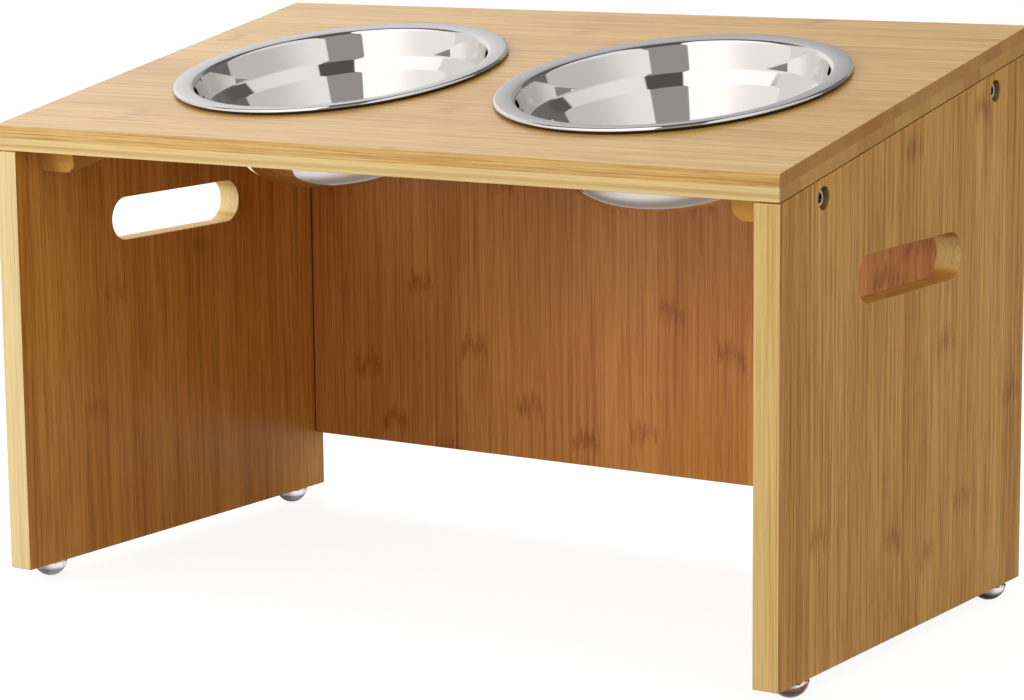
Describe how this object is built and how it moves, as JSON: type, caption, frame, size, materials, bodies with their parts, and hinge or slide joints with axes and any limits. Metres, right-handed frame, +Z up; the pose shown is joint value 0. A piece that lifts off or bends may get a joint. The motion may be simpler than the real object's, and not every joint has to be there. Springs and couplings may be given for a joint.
{
  "type": "raised pet feeder stand",
  "caption": "Raised bamboo pet feeder with a sloped top board, lift-out steel bowls, side panels with handle slots and a back panel.",
  "frame": {"origin": "on the floor under the middle of the stand, at the bottoms of the feet", "axes": "+X to the right across the width as seen from the front, +Y to the rear, +Z up"},
  "size_m": [0.5256, 0.29, 0.3283],
  "materials": {
    "bamboo_top": "clear-lacquered laminated bamboo, grain along the width",
    "bamboo_side": "clear-lacquered laminated bamboo, upright grain",
    "bamboo_back": "clear-lacquered laminated bamboo, upright grain",
    "bowl_steel": "polished stainless steel with a satin rim",
    "screw_steel": "zinc-plated steel",
    "insert_brass": "plain brass",
    "dowel_wood": "plain beech",
    "clear_foot": "clear soft polyurethane"
  },
  "bodies": {
    "stand": {"top_panel": "bamboo_top", "left_panel": "bamboo_side", "right_panel": "bamboo_side", "back_panel": "bamboo_back", "left_rail": "bamboo_side", "right_rail": "bamboo_side", "left_front_screw": "screw_steel", "left_rear_screw": "screw_steel", "right_front_screw": "screw_steel", "right_rear_screw": "screw_steel", "left_front_insert": "insert_brass", "left_rear_insert": "insert_brass", "right_front_insert": "insert_brass", "right_rear_insert": "insert_brass", "left_lower_dowel": "dowel_wood", "left_upper_dowel": "dowel_wood", "right_lower_dowel": "dowel_wood", "right_upper_dowel": "dowel_wood", "left_front_rail_screw": "screw_steel", "left_rear_rail_screw": "screw_steel", "right_front_rail_screw": "screw_steel", "right_rear_rail_screw": "screw_steel", "left_front_foot": "clear_foot", "left_rear_foot": "clear_foot", "right_front_foot": "clear_foot", "right_rear_foot": "clear_foot"},
    "left_bowl": {"left_bowl": "bowl_steel"},
    "right_bowl": {"right_bowl": "bowl_steel"}
  },
  "joints": [
    {"name": "left_bowl_lift", "type": "slide", "parent": "stand", "child": "left_bowl", "axis": [0, -0.1865, 0.9825], "range_m": [0, 0.08]},
    {"name": "right_bowl_lift", "type": "slide", "parent": "stand", "child": "right_bowl", "axis": [0, -0.1865, 0.9825], "range_m": [0, 0.08]}
  ]
}
